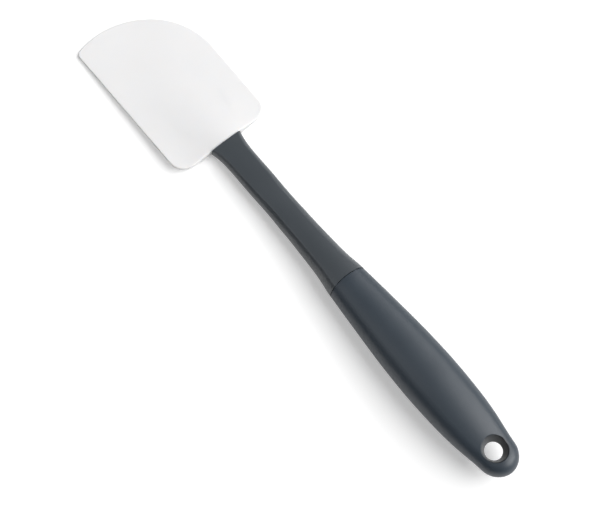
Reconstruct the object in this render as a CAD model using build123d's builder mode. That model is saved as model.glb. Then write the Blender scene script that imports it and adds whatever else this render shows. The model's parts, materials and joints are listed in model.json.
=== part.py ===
from build123d import *
import os
from math import acos, atan2, cos, degrees, radians, sin, sqrt

# A silicone spatula lying on a table, in millimetres.
# +Y runs along the tool towards the blade's tip, +X to the right of the blade, +Z up.
# Distances along the tool are counted from the collar's end face, positive towards the tip.

# Blade
blade_length = 93.9
blade_left = 30.1
blade_right = 29.0
heel_taper = 0.8
heel_standoff = 0.5
root_width = 16.0
root_depth = 1.2
root_inset = 0.3
shoulder_radius = 44.3
tip_corner_radius = 3.4
left_heel_radius = 8.8
right_heel_radius = 8.0
root_thickness = 6.8
tip_thickness = 1.9
root_edge_thickness = 2.4
tip_edge_thickness = 1.5
swelling_reach = 14.0
rim_radius = 0.6

# Stiffener inside the blade
paddle_length = 52.0
paddle_width = 32.0
paddle_root_width = 14.0
paddle_root_thickness = 2.6
paddle_end_thickness = 1.0
paddle_flare_length = 16.0
paddle_corner_radius = 7.0
paddle_margin = 2.0
slot_length = 22.0
slot_width = 4.5
slot_pitch = 9.0
slot_count = 3
slot_margin = 6.0
shank_length = 22.0
shank_width = 9.0
shank_thickness = 2.4
shank_lock_radius = 2.0

# Neck
neck_length = 96.5
collar_width = 19.1
neck_width = 15.8
seam_width = 21.5
collar_height = 7.8
seam_height = 15.6
tang_length = 44.0
tang_width = 9.0
tang_height = 6.0
tang_lock_radius = 2.0
tang_lock_pitch = 18.0
tang_lock_count = 2
ridge_radius = 1.5
seam_curve_radius = 43.0

# Grip
grip_length = 121.9
grip_width = 29.1
grip_height = 21.0
end_radius = 10.5
end_length = 11.8
end_height = 13.0
end_edge_length = 5.8
sleeve_wall = 2.6
hole_from_end = 13.0
bore_radius = 4.45
mouth_radius = 6.4
land_length = 1.2
mouth_edge_radius = 0.5
eye_cover = 1.8
eye_width = 1.9
eye_thickness = 4.0

# Fits
bond_gap = 0.05
seam_gap = 0.35
overrun = 2.0

# Station along the blade, fall from root to tip thickness, rise from edge to spine at the swelling's side
blade_shares = [
    (0.0, 0.0, 0.25),
    (0.10, 0.24, 0.36),
    (0.20, 0.41, 0.45),
    (0.35, 0.57, 0.53),
    (0.60, 0.77, 0.64),
    (1.0, 1.0, 0.75),
]
# Station along the neck, flare to the collar, flare to the seam, rise from collar to seam height,
# place of the ridges across the half width
neck_shares = [
    (0.0, 1.0, 0.0, 0.0, 0.92),
    (0.04, 0.52, 0.0, 0.01, 0.80),
    (0.10, 0.15, 0.0, 0.03, 0.76),
    (0.18, 0.03, 0.01, 0.07, 0.74),
    (0.36, 0.0, 0.01, 0.17, 0.67),
    (0.57, 0.0, 0.05, 0.34, 0.64),
    (0.70, 0.0, 0.16, 0.50, 0.64),
    (0.83, 0.0, 0.36, 0.71, 0.65),
    (0.94, 0.0, 0.71, 0.91, 0.67),
    (1.0, 0.0, 1.0, 1.0, 0.68),
    (1.02, 0.0, 1.05, 1.03, 0.68),
]
collar_flat_share = 0.80
seam_flat_share = 0.50
grip_ridge_share = 0.58
# Station along the grip, swell in width, swell in height
swell_shares = [
    (0.0, 0.0, 0.0),
    (0.08, 0.21, 0.22),
    (0.18, 0.46, 0.48),
    (0.28, 0.70, 0.72),
    (0.38, 0.89, 0.91),
    (0.44, 0.96, 0.98),
    (0.50, 1.0, 1.0),
]
# Station along the grip, fall in width, fall in height
taper_shares = [(0.594, 0.03, 0.05), (0.693, 0.16, 0.25), (0.792, 0.46, 0.58), (0.861, 0.80, 0.87)]
end_turns = (0, 20, 38, 54, 68, 80)

# Places along the tool
blade_tip = heel_standoff + blade_length
grip_end = -neck_length - grip_length
hole_centre = grip_end + hole_from_end
paddle_start = paddle_margin
paddle_end = paddle_start + paddle_length


def blend(start, finish, share):
    """Size that lies a share of the way from start to finish."""
    return start + (finish - start) * share


def grip_stations():
    """Place, width and height of each section of the grip, up to where its end rounds off."""
    stations = []
    for station, wide, high in swell_shares:
        width = blend(seam_width, grip_width, wide)
        height = blend(seam_height, grip_height, high)
        stations.append((-neck_length - grip_length * station, width, height))
    for station, wide, high in taper_shares:
        width = blend(grip_width, 2 * end_radius, wide)
        height = blend(grip_height, end_height, high)
        stations.append((-neck_length - grip_length * station, width, height))
    return stations


# Resting pose: the blade's tip and the grip's belly both touch the table
slopes = [atan2((height - tip_thickness) / 2, blade_tip - place) for place, _, height in grip_stations()]
tilt = max(slopes)
middle = (blade_tip + grip_end) / 2
upright = Plane(
    origin=(0, -middle * cos(tilt), blade_tip * sin(tilt) + tip_thickness / 2 * cos(tilt)),
    x_dir=(1, 0, 0),
    z_dir=(0, sin(tilt), cos(tilt)),
)


def flat(place=0, height=0):
    """Plane that lies along the tool: x to the right, y towards the tip."""
    origin = upright.from_local_coords((0, place, height))
    return Plane(origin=origin, x_dir=upright.x_dir, z_dir=upright.z_dir)


def across(place):
    """Plane square to the tool, facing the grip: x to the right, y up."""
    origin = upright.from_local_coords((0, place, 0))
    return Plane(origin=origin, x_dir=upright.x_dir, z_dir=-upright.y_dir)


def oval(place, width, height, ridge_share=grip_ridge_share, flat_share=0):
    """Section of the handle: a smooth oval, or a flatter top with rounded ridges as flat_share grows."""
    side = width / 2
    top = height / 2
    ridge = side * ridge_share
    spare = side - top
    smooth = (sqrt(spare**2 + 4 * (ridge * (spare - ridge) + side * top)) - spare) / 2
    level = blend(smooth, top, flat_share)
    with BuildSketch(across(place)) as section:
        with BuildLine():
            ThreePointArc((-ridge, level), (0, top), (ridge, level))
            ThreePointArc((ridge, level), (side, 0), (ridge, -level))
            ThreePointArc((ridge, -level), (0, -top), (-ridge, -level))
            ThreePointArc((-ridge, -level), (-side, 0), (-ridge, level))
        make_face()
        if flat_share:
            fillet(vertices(), radius=ridge_radius)
    return section.sketch


def lens(place, half_width, spine, shoulder, edge):
    """Section of the blade's thickness: thin edges, and a swelling in the middle."""
    with BuildSketch(across(place)) as section:
        with BuildLine():
            upper = Spline((-half_width, edge / 2), (-swelling_reach, shoulder / 2), (0, spine / 2),
                           (swelling_reach, shoulder / 2), (half_width, edge / 2))
            lower = Spline((half_width, -edge / 2), (swelling_reach, -shoulder / 2), (0, -spine / 2),
                           (-swelling_reach, -shoulder / 2), (-half_width, -edge / 2))
            Line(upper @ 1, lower @ 0)
            Line(lower @ 1, upper @ 0)
        make_face()
    return section.sketch


def blade_sections(growth=0):
    """Sections of the blade's thickness from past its root's end to past the tip."""
    half_width = max(blade_left, blade_right) + overrun
    sections = []
    for station, fall, rise in blade_shares:
        spine = blend(root_thickness, tip_thickness, fall)
        edge = blend(root_edge_thickness, tip_edge_thickness, fall)
        shoulder = blend(edge, spine, rise)
        place = blend(-root_depth - overrun, blade_tip + overrun, station)
        sections.append(lens(place, half_width, spine + 2 * growth, shoulder + 2 * growth, edge + 2 * growth))
    return sections


def blade_root(growth=0):
    """Short root of the blade in the collar's end, or with growth the seat that holds it."""
    with BuildPart() as body:
        loft(sections=blade_sections(growth - root_inset))
        with BuildSketch(flat()):
            with Locations((0, heel_standoff + rim_radius)):
                length = root_depth + heel_standoff + rim_radius + growth
                Rectangle(root_width + 2 * growth, length, align=(Align.CENTER, Align.MAX))
        extrude(amount=root_thickness, both=True, mode=Mode.INTERSECT)
    return body.part


def neck_sections():
    """Sections of the neck from the collar's end face to just past the seam."""
    sections = []
    for station, collar_flare, seam_flare, rise, ridge_share in neck_shares:
        width = blend(neck_width, collar_width, collar_flare) + (seam_width - neck_width) * seam_flare
        height = blend(collar_height, seam_height, rise)
        flat_share = blend(collar_flat_share, seam_flat_share, station)
        sections.append(oval(-neck_length * station, width, height, ridge_share, flat_share))
    return sections


def seam_curve(gap=0):
    """Round bar whose front face is the curved seam, drawn back by the gap."""
    with BuildPart() as body:
        with BuildSketch(flat(-neck_length - seam_curve_radius)):
            Circle(seam_curve_radius - gap)
        extrude(amount=grip_height, both=True)
    return body.part


def seam_front(gap):
    """All that lies in front of the curved seam, with the gap, up to past the foremost point."""
    with BuildPart() as body:
        with BuildSketch(flat(-neck_length)):
            with Locations((0, overrun)):
                Rectangle(2 * grip_width, seam_curve_radius, align=(Align.CENTER, Align.MAX))
        extrude(amount=grip_height, both=True)
        add(seam_curve(gap), mode=Mode.SUBTRACT)
    return body.part


def grip_sections():
    """Sections of the grip from the seam to its rounded end."""
    sections = [oval(*station) for station in grip_stations()]
    for turn in end_turns:
        from_end = end_length * (1 - sin(radians(turn)))
        rounding = max(0, 1 - from_end / end_edge_length)
        width = 2 * end_radius * cos(radians(turn))
        sections.append(oval(grip_end + from_end, width, end_height * sqrt(1 - rounding**2)))
    return sections


def stiffener(growth=0):
    """Slotted paddle and shank of the blade's core, or with growth the space that holds them."""
    side = paddle_width / 2 + growth
    root_side = paddle_root_width / 2 + growth
    start = paddle_start - growth
    end = paddle_end + growth
    flare_end = paddle_start + paddle_flare_length
    slots_centre = paddle_end - slot_margin - slot_length / 2
    with BuildPart() as body:
        with BuildSketch(flat()):
            with BuildLine():
                Polyline((-root_side, start), (-side, flare_end), (-side, end), (side, end), (side, flare_end),
                         (root_side, start), close=True)
            make_face()
            ends = vertices().sort_by(Axis.Y)[-2:]
            fillet(ends, radius=paddle_corner_radius + growth)
            with Locations((0, slots_centre)):
                with GridLocations(slot_pitch, 0, slot_count, 1):
                    SlotOverall(slot_length - 2 * growth, slot_width - 2 * growth, rotation=90, mode=Mode.SUBTRACT)
        extrude(amount=paddle_root_thickness, both=True)
        with BuildSketch(Plane(origin=upright.origin, x_dir=upright.y_dir, z_dir=upright.x_dir)):
            with BuildLine():
                root_level = paddle_root_thickness / 2 + growth
                end_level = paddle_end_thickness / 2 + growth
                Polyline((start, root_level), (end, end_level), (end, -end_level), (start, -root_level), close=True)
            make_face()
        extrude(amount=paddle_width, both=True, mode=Mode.INTERSECT)
        with BuildSketch(across(paddle_start + paddle_margin)):
            Rectangle(shank_width + 2 * growth, shank_thickness + 2 * growth)
        extrude(amount=shank_length + paddle_start + paddle_margin + growth)
        with Locations(flat(-shank_length / 2)):
            Cylinder(shank_lock_radius - growth, 2 * shank_thickness, mode=Mode.SUBTRACT)
    return body.part


def tang(growth=0):
    """Bar of the neck that runs into the grip, or with growth the space that holds it."""
    with BuildPart() as body:
        with BuildSketch(across(-neck_length + overrun)):
            Rectangle(tang_width + 2 * growth, tang_height + 2 * growth)
        extrude(amount=tang_length + overrun + growth)
        with Locations(flat(-neck_length - tang_length / 2)):
            with GridLocations(0, tang_lock_pitch, 1, tang_lock_count):
                Cylinder(tang_lock_radius - growth, 2 * tang_height, mode=Mode.SUBTRACT)
    return body.part


def core_body(growth=0):
    """Bar and eye of the grip's core, or with growth the space that holds them."""
    wall = sleeve_wall - growth
    last_place = hole_centre + mouth_radius + sleeve_wall
    stations = [station for station in grip_stations() if station[0] > last_place]
    bar_end = stations[-1][0]
    sections = []
    for place, width, height in stations:
        ending = growth if place == bar_end else 0
        sections.append(oval(place - ending, width - 2 * wall, height - 2 * wall))
    eye_inside = bore_radius + eye_cover - growth
    eye_outside = bore_radius + eye_cover + eye_width + growth
    with BuildPart() as body:
        loft(sections=sections)
        with BuildSketch(flat(height=-eye_thickness / 2 - growth)):
            with Locations((0, hole_centre)):
                Circle(eye_outside)
            with BuildLine():
                Polyline((-eye_outside, hole_centre), (-eye_outside, bar_end + overrun),
                         (eye_outside, bar_end + overrun), (eye_outside, hole_centre), close=True)
            make_face()
            with Locations((0, hole_centre)):
                Circle(eye_inside, mode=Mode.SUBTRACT)
        extrude(amount=eye_thickness + 2 * growth)
    return body.part


# Blade: silicone moulded round the stiffener
with BuildPart() as blade:
    loft(sections=blade_sections())
    with BuildSketch(flat()):
        arc_centre = blade_right - shoulder_radius
        arc_start = blade_tip - shoulder_radius
        arc_turn = degrees(acos((-blade_left - arc_centre) / shoulder_radius))
        left_heel = (heel_taper - blade_left, heel_standoff)
        right_heel = (blade_right - heel_taper, heel_standoff)
        with BuildLine():
            shoulder = CenterArc((arc_centre, arc_start), shoulder_radius, 0, arc_turn)
            Polyline(shoulder @ 1, left_heel, right_heel, shoulder @ 0)
        make_face()
        corners = {
            left_heel: left_heel_radius,
            right_heel: right_heel_radius,
            (-blade_left, blade_tip): tip_corner_radius,
        }
        for corner, radius in corners.items():
            fillet(vertices().sort_by_distance(corner)[0], radius=radius)
    extrude(amount=root_thickness, both=True, mode=Mode.INTERSECT)
    skins = faces().sort_by(SortBy.AREA)[-2:]
    fillet(skins.edges(), radius=rim_radius)
    add(blade_root())
    add(stiffener(bond_gap), mode=Mode.SUBTRACT)

# Blade core: the slotted nylon stiffener, wholly inside the blade and the collar
with BuildPart() as blade_core:
    add(stiffener())

# Shaft: flared collar, slim neck, shoulder at the seam and tang
with BuildPart() as shaft:
    loft(sections=neck_sections())
    add(seam_curve(), mode=Mode.SUBTRACT)
    add(tang())
    add(blade_root(bond_gap), mode=Mode.SUBTRACT)
    add(stiffener(bond_gap), mode=Mode.SUBTRACT)

# Grip core: the hard bar under the soft grip, with an eye round the hanging hole
with BuildPart() as grip_core:
    add(core_body())
    add(seam_front(bond_gap), mode=Mode.SUBTRACT)
    add(tang(bond_gap), mode=Mode.SUBTRACT)

# Grip sleeve: the soft grip with its bell-mouthed hanging hole
with BuildPart() as grip_sleeve:
    end_point = Vertex(*upright.from_local_coords((0, grip_end, 0)))
    loft(sections=[*grip_sections(), end_point])
    add(core_body(bond_gap), mode=Mode.SUBTRACT)
    add(seam_front(seam_gap), mode=Mode.SUBTRACT)
    with BuildSketch(across(hole_centre)):
        with BuildLine():
            waist = land_length / 2
            spread = (mouth_radius - bore_radius) / (end_height / 2 - waist)
            reach_out = bore_radius + spread * (grip_height - waist)
            Polyline((0, -grip_height), (reach_out, -grip_height), (bore_radius, -waist), (bore_radius, waist),
                     (reach_out, grip_height), (0, grip_height), close=True)
        make_face()
    hole_axis = Axis(across(hole_centre).origin, upright.z_dir)
    revolve(axis=hole_axis, mode=Mode.SUBTRACT)
    mouths = edges(Select.LAST).sort_by(hole_axis)
    fillet([mouths[0], mouths[-1]], radius=mouth_edge_radius)

os.makedirs("parts", exist_ok=True)
blade.part.label = "blade"
export_step(blade.part, "parts/blade.step")
blade_core.part.label = "blade_core"
export_step(blade_core.part, "parts/blade_core.step")
shaft.part.label = "shaft"
export_step(shaft.part, "parts/shaft.step")
grip_core.part.label = "grip_core"
export_step(grip_core.part, "parts/grip_core.step")
grip_sleeve.part.label = "grip_sleeve"
export_step(grip_sleeve.part, "parts/grip_sleeve.step")
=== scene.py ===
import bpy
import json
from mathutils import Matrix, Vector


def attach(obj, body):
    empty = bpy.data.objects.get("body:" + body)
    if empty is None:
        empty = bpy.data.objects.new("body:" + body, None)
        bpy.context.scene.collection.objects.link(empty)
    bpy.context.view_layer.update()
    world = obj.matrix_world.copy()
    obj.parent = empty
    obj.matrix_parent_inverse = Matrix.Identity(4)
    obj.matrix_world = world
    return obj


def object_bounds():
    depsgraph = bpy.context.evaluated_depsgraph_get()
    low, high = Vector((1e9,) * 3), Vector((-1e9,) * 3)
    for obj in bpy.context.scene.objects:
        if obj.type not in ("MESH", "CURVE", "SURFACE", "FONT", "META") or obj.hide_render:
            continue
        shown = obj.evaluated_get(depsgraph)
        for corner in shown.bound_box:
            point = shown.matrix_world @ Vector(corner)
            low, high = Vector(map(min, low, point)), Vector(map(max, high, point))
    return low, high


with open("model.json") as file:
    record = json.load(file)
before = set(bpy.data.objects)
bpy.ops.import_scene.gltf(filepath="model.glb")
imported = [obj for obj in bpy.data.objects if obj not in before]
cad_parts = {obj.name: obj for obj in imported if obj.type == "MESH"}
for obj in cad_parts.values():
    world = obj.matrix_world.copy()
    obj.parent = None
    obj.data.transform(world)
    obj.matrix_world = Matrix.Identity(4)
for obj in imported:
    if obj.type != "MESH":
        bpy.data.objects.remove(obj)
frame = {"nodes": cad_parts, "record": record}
cad_box = [list(corner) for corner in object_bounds()]

import json
import math

import bpy
from mathutils import Vector

mm = 0.001

# The tool's own directions: right, along towards the blade's tip, and up, square to the blade's face.
# Places on the tool are counted from the centre of the hanging hole.
hole = next(mount for mount in frame["record"]["mounts"] if mount["name"] == "hang_hole")
hole_centre = Vector(hole["pos_m"])
right = Vector((1, 0, 0))
up = Vector(hole["axis"]).normalized()
along = up.cross(right)

# The curved seam's foremost place, counted along the tool, and the radius of its curve
seam_place = 108.9 * mm
seam_radius = 43 * mm
# Radius of the hole's bell mouth, and the width over which its plain inside, darkened with painted shade,
# turns into the grained outside
mouth_radius = 6.4 * mm
mouth_rim = 0.6 * mm


class Signal:
    """A node's output. Sums, differences, products and the size of signals add Math nodes."""

    def __init__(self, tree, output):
        self.tree = tree
        self.output = output

    def maths(self, operation, *values):
        return self.tree.node("ShaderNodeMath", {"operation": operation}, dict(enumerate(values)))

    def __add__(self, other):
        return self.maths("ADD", self, other)

    def __radd__(self, other):
        return self.maths("ADD", other, self)

    def __sub__(self, other):
        return self.maths("SUBTRACT", self, other)

    def __mul__(self, other):
        return self.maths("MULTIPLY", self, other)

    def __rmul__(self, other):
        return self.maths("MULTIPLY", other, self)

    def __abs__(self):
        return self.maths("ABSOLUTE", self)

    def root(self):
        return self.maths("SQRT", self)

    def either(self, other):
        return self.maths("MAXIMUM", self, other)


class Tree:
    """The nodes of a finish or of the studio. node() adds any node: its settings, then its sockets."""

    def __init__(self, owner):
        owner.use_nodes = True
        self.tree = owner.node_tree
        self.tree.nodes.clear()

    def node(self, kind, settings=None, sockets=None, output=0):
        made = self.tree.nodes.new(kind)
        for name, value in (settings or {}).items():
            setattr(made, name, value)
        for name, value in (sockets or {}).items():
            if isinstance(value, Signal):
                self.tree.links.new(value.output, made.inputs[name])
            else:
                made.inputs[name].default_value = value
        return Signal(self, made.outputs[output]) if made.outputs else None

    def ray(self, *kinds):
        """One for rays of the named kinds, nothing for all others."""
        first, *others = [self.node("ShaderNodeLightPath", output=kind) for kind in kinds]
        for other in others:
            first = first.either(other)
        return first

    def between(self, value, low, high, to_low=0.0, to_high=1.0):
        """The value eased from to_low at low to to_high at high."""
        return self.node("ShaderNodeMapRange", {"interpolation_type": "SMOOTHSTEP"}, {
            "Value": value, "From Min": low, "From Max": high, "To Min": to_low, "To Max": to_high})


class Finish(Tree):
    """A material with a Principled shader, whose patterns are placed on the tool itself."""

    def __init__(self, name):
        self.material = bpy.data.materials.new(name)
        super().__init__(self.material)
        self.where = self.node("ShaderNodeTexCoord", output="Object")

    def reach(self, direction):
        """Distance from the centre of the hanging hole in one direction."""
        full = self.node("ShaderNodeVectorMath", {"operation": "DOT_PRODUCT"},
                         {0: self.where, 1: direction}, "Value")
        return full - direction.dot(hole_centre)

    def stretched(self, lengthwise):
        """Places squeezed along the tool, so that a pattern on them comes out that much longer."""
        return self.node("ShaderNodeMapping", None, {"Vector": self.where, "Scale": (1, 1 / lengthwise, 1)})

    def noise(self, size, detail=2.0, roughness=0.5, where=None):
        """Cloudy noise from 0 to 1 whose patches are about `size` across."""
        return self.node("ShaderNodeTexNoise", None,
                         {"Vector": where or self.where, "Scale": 1 / size, "Detail": detail,
                          "Roughness": roughness})

    def mixed(self, share, first, second):
        """A colour between two colours. Inputs 0, 6 and 7 are the factor and the two colours."""
        return self.node("ShaderNodeMix", {"data_type": "RGBA"}, {0: share, 6: first, 7: second}, 2)

    def bump(self, height, depth, under=None):
        sockets = {"Height": height, "Distance": depth, "Strength": 1.0}
        if under:
            sockets["Normal"] = under
        return self.node("ShaderNodeBump", None, sockets)

    def parting_line(self, width):
        """One on the fine line round the tool where the two halves of its mould met."""
        full_share = 0.3
        return self.between(abs(self.reach(up)), full_share * width, width, 1.0, 0.0)

    def surface(self, sockets):
        shader = self.node("ShaderNodeBsdfPrincipled", None, sockets, "BSDF")
        self.node("ShaderNodeOutputMaterial", None, {"Surface": shader})


def colour(red, green, blue):
    return (red, green, blue, 1.0)


def silicone_finish():
    """Matt white silicone with a fine mould grain."""
    finish = Finish("white_silicone")
    cloud = finish.noise(22 * mm)
    grain = finish.noise(0.35 * mm, detail=3.0, roughness=0.6)
    moulded = finish.bump(finish.parting_line(0.2 * mm), 0.04 * mm)
    finish.surface({
        "Base Color": finish.mixed(cloud, colour(0.872, 0.868, 0.873), colour(0.892, 0.890, 0.893)),
        "Roughness": 0.62 + 0.10 * grain,
        "Normal": finish.bump(grain, 0.02 * mm, moulded),
        "Subsurface Weight": 0.7,
        "Subsurface Radius": (1.0, 0.95, 0.9),
        "Subsurface Scale": 0.8 * mm,
        "Specular IOR Level": 0.15,
        "IOR": 1.41,
    })
    return finish.material


def nylon_finish():
    """Satin dark grey nylon: fine grain, faint flow marks along the neck, and a parting line."""
    finish = Finish("dark_nylon")
    cloud = finish.noise(14 * mm)
    flow = finish.noise(3 * mm, detail=3.0, roughness=0.55, where=finish.stretched(9))
    grain = finish.noise(0.4 * mm, detail=3.0, roughness=0.6)
    moulded = finish.bump(finish.parting_line(0.22 * mm), 0.05 * mm)
    finish.surface({
        "Base Color": finish.mixed(cloud, colour(0.047, 0.056, 0.065), colour(0.055, 0.065, 0.075)),
        "Roughness": 0.34 + 0.06 * grain + 0.05 * flow,
        "Normal": finish.bump(grain, 0.025 * mm, moulded),
        "Specular IOR Level": 0.6,
        "IOR": 1.52,
    })
    return finish.material


def grip_finish():
    """Soft dark blue-grey rubber: matt and finely grained. Inside the hanging hole it is plain, and its
    colour there is darkened with painted shade.
    """
    finish = Finish("soft_grip_rubber")
    cloud = finish.noise(18 * mm)
    grain = finish.noise(0.25 * mm, detail=3.0, roughness=0.6)
    aside = finish.reach(right)
    back = finish.reach(along)
    from_axis = (aside * aside + back * back).root()
    # One outside the hole's mouth. Inside it the grain and parting line stop, and the painted shade on the
    # recess wall begins.
    outside = finish.between(from_axis, mouth_radius, mouth_radius + mouth_rim)
    rubber = finish.mixed(cloud, colour(0.025, 0.037, 0.052), colour(0.030, 0.044, 0.060))
    moulded = finish.bump(finish.parting_line(0.25 * mm) * outside, 0.06 * mm)
    finish.surface({
        # Inside the hole's mouth the base colour is a darker blue-grey: painted shade on the recess wall,
        # not the rubber's own colour.
        "Base Color": finish.mixed(outside, colour(0.017, 0.023, 0.028), rubber),
        "Roughness": 0.42 + 0.08 * grain * outside,
        "Normal": finish.bump(grain * outside, 0.02 * mm, moulded),
        "Specular IOR Level": 0.75,
        "IOR": 1.48,
    })
    return finish.material


def hidden_finish(name, dark, light):
    """Plain moulded plastic for the cores, which are hidden inside the blade and the grip."""
    finish = Finish(name)
    grain = finish.noise(0.5 * mm, detail=3.0, roughness=0.6)
    finish.surface({
        "Base Color": finish.mixed(finish.noise(9 * mm), dark, light),
        "Roughness": 0.45 + 0.15 * grain,
        "Normal": finish.bump(grain, 0.02 * mm),
    })
    return finish.material


finishes = {
    "blade": silicone_finish(),
    "shaft": nylon_finish(),
    "grip_sleeve": grip_finish(),
    "blade_core": hidden_finish("natural_nylon", colour(0.74, 0.72, 0.66), colour(0.82, 0.80, 0.74)),
    "grip_core": hidden_finish("core_plastic", colour(0.025, 0.025, 0.027), colour(0.036, 0.036, 0.038)),
}
for node, material in finishes.items():
    for slot in frame["nodes"][node].material_slots:
        slot.material = material


def grip_lip():
    """The soft grip's lip deep in the seam, which lets no light through between the neck and the grip.

    It starts as a copy of the neck's own curved end face, cut back from the outside and given a thickness.
    """
    groove_depth = 0.45 * mm
    clearance = 0.06 * mm
    thickness = 0.23 * mm
    # A face belongs to the curved end when it is this near to the seam's curve and faces the curve's middle
    near_curve = 0.2 * mm
    faces_middle = -0.9
    merge_distance = 0.001 * mm
    lip = bpy.data.objects.new("grip_lip", frame["nodes"]["shaft"].data.copy())
    bpy.context.collection.objects.link(lip)
    lip.data.materials.clear()
    lip.data.materials.append(finishes["grip_sleeve"])
    bpy.ops.object.select_all(action="DESELECT")
    lip.select_set(True)
    bpy.context.view_layer.objects.active = lip
    bpy.ops.object.mode_set(mode="EDIT")
    bpy.ops.mesh.select_mode(type="FACE")
    bpy.ops.mesh.select_all(action="SELECT")
    bpy.ops.mesh.remove_doubles(threshold=merge_distance)
    bpy.ops.mesh.select_all(action="DESELECT")
    bpy.ops.object.mode_set(mode="OBJECT")
    for face in lip.data.polygons:
        place = face.center - hole_centre
        outward = Vector((place.dot(right), place.dot(along) - (seam_place - seam_radius)))
        facing = Vector((face.normal.dot(right), face.normal.dot(along)))
        on_curve = abs(outward.length - seam_radius) < near_curve
        face.select = on_curve and facing.dot(outward.normalized()) < faces_middle
    bpy.ops.object.mode_set(mode="EDIT")
    bpy.ops.mesh.select_all(action="INVERT")
    bpy.ops.mesh.delete(type="FACE")
    bpy.ops.mesh.select_all(action="SELECT")
    bpy.ops.mesh.inset(thickness=groove_depth, depth=0, use_boundary=True)
    bpy.ops.mesh.select_all(action="INVERT")
    bpy.ops.mesh.delete(type="FACE")
    bpy.ops.object.mode_set(mode="OBJECT")
    aside = lip.modifiers.new("clearance", "DISPLACE")
    aside.mid_level = 0
    aside.strength = clearance
    shell = lip.modifiers.new("thickness", "SOLIDIFY")
    shell.thickness = thickness
    shell.offset = 1
    for name in ("clearance", "thickness"):
        bpy.ops.object.modifier_apply(modifier=name)
    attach(lip, "root")


grip_lip()

# Floor: white paper, which keeps the tool's shadow. Its glow lifts the lit paper to pure white.
floor_width = 30
floor_gap = 0.02 * mm
floor_white = 0.84
floor_glow = 0.335
bpy.ops.object.select_all(action="DESELECT")
bpy.ops.mesh.primitive_plane_add(size=floor_width, location=(0, 0, cad_box[0][2] - floor_gap))
floor = bpy.context.object
floor.name = "studio_floor"
paper = Finish("white_paper")
lit = paper.node("ShaderNodeBsdfDiffuse", None, {"Color": colour(floor_white, floor_white, floor_white)})
glow = paper.node("ShaderNodeEmission", None, {
    "Color": colour(1, 1, 1),
    "Strength": floor_glow * paper.ray("Is Camera Ray", "Is Glossy Ray", "Is Transmission Ray"),
})
both = paper.node("ShaderNodeAddShader", None, {0: lit, 1: glow})
paper.node("ShaderNodeOutputMaterial", None, {"Surface": both})
floor.data.materials.append(paper.material)


def toward(heading, elevation):
    """Direction at a heading (0 is to the tool's right, 90 to its tip) and an elevation in degrees."""
    level = math.cos(math.radians(elevation))
    return Vector((math.cos(math.radians(heading)) * level, math.sin(math.radians(heading)) * level,
                   math.sin(math.radians(elevation))))


# Studio: soft light from the window's side, and white where the camera looks past the floor
window_heading = -40
window_elevation = 35
# Strengths away from the window and towards it, and the cosines of the angle to it where they are reached
dim_strength, dim_cosine = 0.045, -0.2
bright_strength, bright_cosine = 0.22, 0.9
world = bpy.data.worlds.new("studio")
bpy.context.scene.world = world
studio = Tree(world)
direction = studio.node("ShaderNodeTexCoord", output="Generated")
window_side = studio.node("ShaderNodeVectorMath", {"operation": "DOT_PRODUCT"},
                          {0: direction, 1: toward(window_heading, window_elevation)}, "Value")
fill = studio.node("ShaderNodeBackground", None, {
    "Color": colour(1, 1, 1),
    "Strength": studio.between(window_side, dim_cosine, bright_cosine, dim_strength, bright_strength),
})
white = studio.node("ShaderNodeBackground", None, {"Color": colour(1, 1, 1), "Strength": 1.0})
seen = studio.node("ShaderNodeMixShader", None,
                   {0: studio.ray("Is Camera Ray", "Is Transmission Ray"), 1: fill, 2: white})
studio.node("ShaderNodeOutputWorld", None, {"Surface": seen})


def lamp(name, kind, heading, elevation, settings, distance=1.0):
    """A lamp that shines on the tool from a direction."""
    data = bpy.data.lights.new(name, kind)
    for setting, value in settings.items():
        setattr(data, setting, value)
    made = bpy.data.objects.new(name, data)
    bpy.context.collection.objects.link(made)
    made.location = toward(heading, elevation) * distance
    made.rotation_mode = "QUATERNION"
    made.rotation_quaternion = toward(heading, elevation).to_track_quat("Z", "Y")


lamp("key", "SUN", -40, 45, {"energy": 3.04, "angle": math.radians(52)})
lamp("left_strip", "AREA", 153, 57, {"energy": 1.15, "shape": "RECTANGLE", "size": 0.35, "size_y": 0.52})
lamp("side_window", "AREA", 12, 36, {"energy": 1.7, "shape": "RECTANGLE", "size": 0.5, "size_y": 0.3})

# Camera at the photograph's viewpoint
picture_width = 600
focal_pixels = 1122.0
sensor_width = 36
camera_distance = 0.5683
camera_heading = -128.987
camera_elevation = 73.0
looked_at = Vector((-0.00856, -0.00932, 0))
back = toward(camera_heading, camera_elevation)
camera_data = bpy.data.cameras.new("camera")
camera_data.lens = focal_pixels / picture_width * sensor_width
camera_data.sensor_width = sensor_width
camera_data.clip_start = 0.01
camera_data.clip_end = 100
camera = bpy.data.objects.new("camera", camera_data)
bpy.context.collection.objects.link(camera)
camera.location = looked_at + back * camera_distance
camera.rotation_mode = "QUATERNION"
camera.rotation_quaternion = (-back).to_track_quat("-Z", "Y")
bpy.context.scene.camera = camera
bpy.context.scene.view_settings.view_transform = "Standard"
